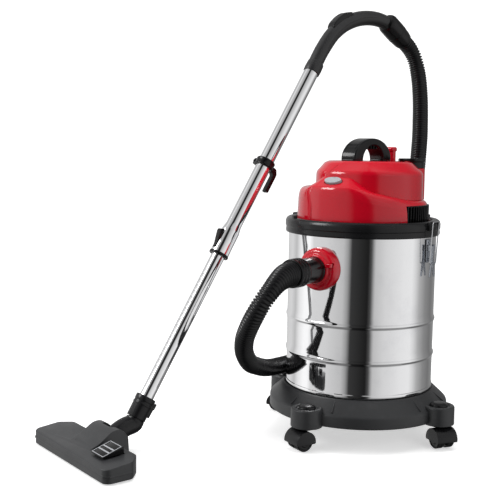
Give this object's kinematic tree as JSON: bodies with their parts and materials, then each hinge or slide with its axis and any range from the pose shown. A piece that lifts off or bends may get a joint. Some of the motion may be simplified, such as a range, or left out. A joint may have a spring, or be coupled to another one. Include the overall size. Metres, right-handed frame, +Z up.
{
  "type": "shop vacuum",
  "caption": "Wet and dry shop vacuum: polished steel drum on a castor dolly, lift-off red motor head, corrugated hose, telescopic wand and floor head.",
  "frame": {"origin": "on the floor, in the middle of the footprint of everything but the hose", "axes": "+Z up, the inlet and the switch look towards -Y, +X to the right of the machine seen from behind"},
  "size_m": [0.7144, 1.007, 0.9724],
  "materials": {
    "head_red": "glossy",
    "drum_steel": "polished",
    "tube_chrome": "polished",
    "latch_zinc": "satin",
    "dark_grey_plastic": "fine-grained matt",
    "black_plastic": "semi-gloss",
    "black_rubber": "matt",
    "silver_plastic": "satin metallic paint",
    "filter_paper": "matt",
    "motor_metal": "matt",
    "hose_black": "satin",
    "float_white": "matt"
  },
  "bodies": {
    "machine": {"dolly_base": "dark_grey_plastic", "drum": "drum_steel", "inlet_flange": "head_red", "inlet_deflector": "black_plastic", "latch_bracket_left": "latch_zinc", "latch_bracket_right": "latch_zinc", "hose": "hose_black", "wand_upper": "tube_chrome", "wand_seal_ring": "black_plastic", "wand_clip": "black_plastic", "bent_grip": "dark_grey_plastic", "grip_cuff": "black_plastic"},
    "motor_head": {"lid_ring": "dark_grey_plastic", "lid_gasket": "black_rubber", "motor_housing": "head_red", "housing_cover": "head_red", "vent_grille": "black_plastic", "carry_handle": "black_plastic", "blower_port": "head_red", "blower_collar": "black_plastic", "cord_hook": "head_red", "cord_gland": "black_plastic", "motor": "motor_metal", "float_cage": "black_plastic", "filter": "filter_paper"},
    "power_switch": {"power_switch": "silver_plastic"},
    "fan": {"fan": "silver_plastic"},
    "float": {"float_ball": "float_white"},
    "release_tab": {"inlet_release_tab": "head_red"},
    "inlet_cuff": {"inlet_cuff": "black_plastic"},
    "latch_lever_right": {"latch_lever_right": "latch_zinc"},
    "latch_bail_right": {"latch_bail_right": "latch_zinc"},
    "latch_lever_left": {"latch_lever_left": "latch_zinc"},
    "latch_bail_left": {"latch_bail_left": "latch_zinc"},
    "suction_slider": {"suction_slider": "black_plastic"},
    "lock_button": {"lock_button": "black_plastic"},
    "lower_wand": {"wand_lower": "tube_chrome", "wand_socket": "dark_grey_plastic", "parking_hook": "black_plastic"},
    "elbow": {"floor_head_elbow": "dark_grey_plastic"},
    "floor_head": {"floor_head_shell": "dark_grey_plastic", "sole_plate": "latch_zinc"},
    "pedal": {"pedal": "black_plastic"},
    "brush_strips": {"brush_front": "black_rubber", "brush_rear": "black_rubber"},
    "roller_left": {"roller_left": "black_rubber"},
    "roller_right": {"roller_right": "black_rubber"},
    "castor_front": {"castor_hood_front": "dark_grey_plastic"},
    "wheels_front": {"castor_wheels_front": "black_plastic"},
    "castor_right": {"castor_hood_right": "dark_grey_plastic"},
    "wheels_right": {"castor_wheels_right": "black_plastic"},
    "castor_rear": {"castor_hood_rear": "dark_grey_plastic"},
    "wheels_rear": {"castor_wheels_rear": "black_plastic"},
    "castor_left": {"castor_hood_left": "dark_grey_plastic"},
    "wheels_left": {"castor_wheels_left": "black_plastic"}
  },
  "joints": [
    {"name": "castor_swivel_front", "type": "hinge", "parent": "machine", "child": "castor_front", "pos_m": [0.1051, -0.0519, 0.05], "axis": [0, 0, 1], "continuous": true},
    {"name": "castor_roll_front", "type": "hinge", "parent": "castor_front", "child": "wheels_front", "pos_m": [0.09963, -0.06694, 0.02], "axis": [0.9397, -0.342, 0], "continuous": true},
    {"name": "castor_swivel_right", "type": "hinge", "parent": "machine", "child": "castor_right", "pos_m": [0.3101, 0.1531, 0.05], "axis": [0, 0, 1], "continuous": true},
    {"name": "castor_roll_right", "type": "hinge", "parent": "castor_right", "child": "wheels_right", "pos_m": [0.32396, 0.1451, 0.02], "axis": [0.5, 0.866, 0], "continuous": true},
    {"name": "castor_swivel_rear", "type": "hinge", "parent": "machine", "child": "castor_rear", "pos_m": [0.1051, 0.3581, 0.05], "axis": [0, 0, 1], "continuous": true},
    {"name": "castor_roll_rear", "type": "hinge", "parent": "castor_rear", "child": "wheels_rear", "pos_m": [0.09963, 0.37314, 0.02], "axis": [-0.9397, -0.342, 0], "continuous": true},
    {"name": "castor_swivel_left", "type": "hinge", "parent": "machine", "child": "castor_left", "pos_m": [-0.0999, 0.1531, 0.05], "axis": [0, 0, 1], "continuous": true},
    {"name": "castor_roll_left", "type": "hinge", "parent": "castor_left", "child": "wheels_left", "pos_m": [-0.11494, 0.14763, 0.02], "axis": [0.342, -0.9397, 0], "continuous": true},
    {"name": "head_lift", "type": "slide", "parent": "machine", "child": "motor_head", "axis": [0, 0, 1], "range_m": [0, 0.2]},
    {"name": "switch_rock", "type": "hinge", "parent": "motor_head", "child": "power_switch", "pos_m": [0.1051, 0.0279, 0.569], "axis": [1, 0, 0], "range_deg": [-7, 7]},
    {"name": "fan_spin", "type": "hinge", "parent": "motor_head", "child": "fan", "pos_m": [0.1051, 0.1531, 0.49], "axis": [0, 0, 1], "continuous": true},
    {"name": "float_rise", "type": "slide", "parent": "motor_head", "child": "float", "axis": [0, 0, 1], "range_m": [0, 0.058]},
    {"name": "tab_press", "type": "slide", "parent": "machine", "child": "release_tab", "axis": [0, 1, 0], "range_m": [0, 0.0022], "stiffness_N_per_m": 400},
    {"name": "cuff_turn", "type": "hinge", "parent": "machine", "child": "inlet_cuff", "pos_m": [0.1051, -0.0469, 0.384], "axis": [0, -1, 0], "continuous": true},
    {"name": "latch_lever_right_open", "type": "hinge", "parent": "machine", "child": "latch_lever_right", "pos_m": [0.2786, 0.1531, 0.43], "axis": [0, -1, 0], "range_deg": [0, 85]},
    {"name": "latch_bail_right_swing", "type": "hinge", "parent": "latch_lever_right", "child": "latch_bail_right", "pos_m": [0.2826, 0.1531, 0.396], "axis": [0, -1, 0], "range_deg": [-145, 0]},
    {"name": "latch_lever_left_open", "type": "hinge", "parent": "machine", "child": "latch_lever_left", "pos_m": [-0.0684, 0.1531, 0.43], "axis": [0, 1, 0], "range_deg": [0, 85]},
    {"name": "latch_bail_left_swing", "type": "hinge", "parent": "latch_lever_left", "child": "latch_bail_left", "pos_m": [-0.0724, 0.1531, 0.396], "axis": [0, 1, 0], "range_deg": [-145, 0]},
    {"name": "relief_slide", "type": "hinge", "parent": "machine", "child": "suction_slider", "pos_m": [-0.00548, 0.36286, 0.75301], "axis": [-0.9703, 0.2419, 0], "range_deg": [0, 2.4]},
    {"name": "lock_press", "type": "slide", "parent": "machine", "child": "lock_button", "axis": [0.2045, 0.8202, -0.5344], "range_m": [0, 0.0022], "stiffness_N_per_m": 500},
    {"name": "wand_telescope", "type": "slide", "parent": "machine", "child": "lower_wand", "axis": [0.1293, 0.5185, 0.8453], "range_m": [0, 0.25]},
    {"name": "elbow_swivel", "type": "hinge", "parent": "lower_wand", "child": "elbow", "pos_m": [-0.1625, -0.2669, 0.105], "axis": [0.1293, 0.5185, 0.8453], "range_deg": [-45, 45]},
    {"name": "head_tilt", "type": "hinge", "parent": "elbow", "child": "floor_head", "pos_m": [-0.18403, -0.35326, 0.033], "axis": [0.9703, -0.2419, 0], "range_deg": [-20, 25]},
    {"name": "pedal_rock", "type": "hinge", "parent": "floor_head", "child": "pedal", "pos_m": [-0.11268, -0.42258, 0.042], "axis": [-0.9703, 0.2419, 0], "range_deg": [0, 5]},
    {"name": "brush_drop", "type": "slide", "parent": "floor_head", "child": "brush_strips", "axis": [0, 0, -1], "range_m": [0, 0.0034]},
    {"name": "roller_left_spin", "type": "hinge", "parent": "floor_head", "child": "roller_left", "pos_m": [-0.33706, -0.37179, 0.0082], "axis": [0.9703, -0.2419, 0], "continuous": true},
    {"name": "roller_right_spin", "type": "hinge", "parent": "floor_head", "child": "roller_right", "pos_m": [-0.05761, -0.44146, 0.0082], "axis": [0.9703, -0.2419, 0], "continuous": true}
  ],
  "couplings": [
    {"joint": "latch_lever_right_open", "follows": "head_lift", "rad_per_m": 7.4169},
    {"joint": "latch_bail_right_swing", "follows": "head_lift", "rad_per_m": -12.652},
    {"joint": "latch_lever_left_open", "follows": "head_lift", "rad_per_m": 7.4169},
    {"joint": "latch_bail_left_swing", "follows": "head_lift", "rad_per_m": -12.652},
    {"joint": "pedal_rock", "follows": "brush_drop", "rad_per_m": 25.664}
  ]
}
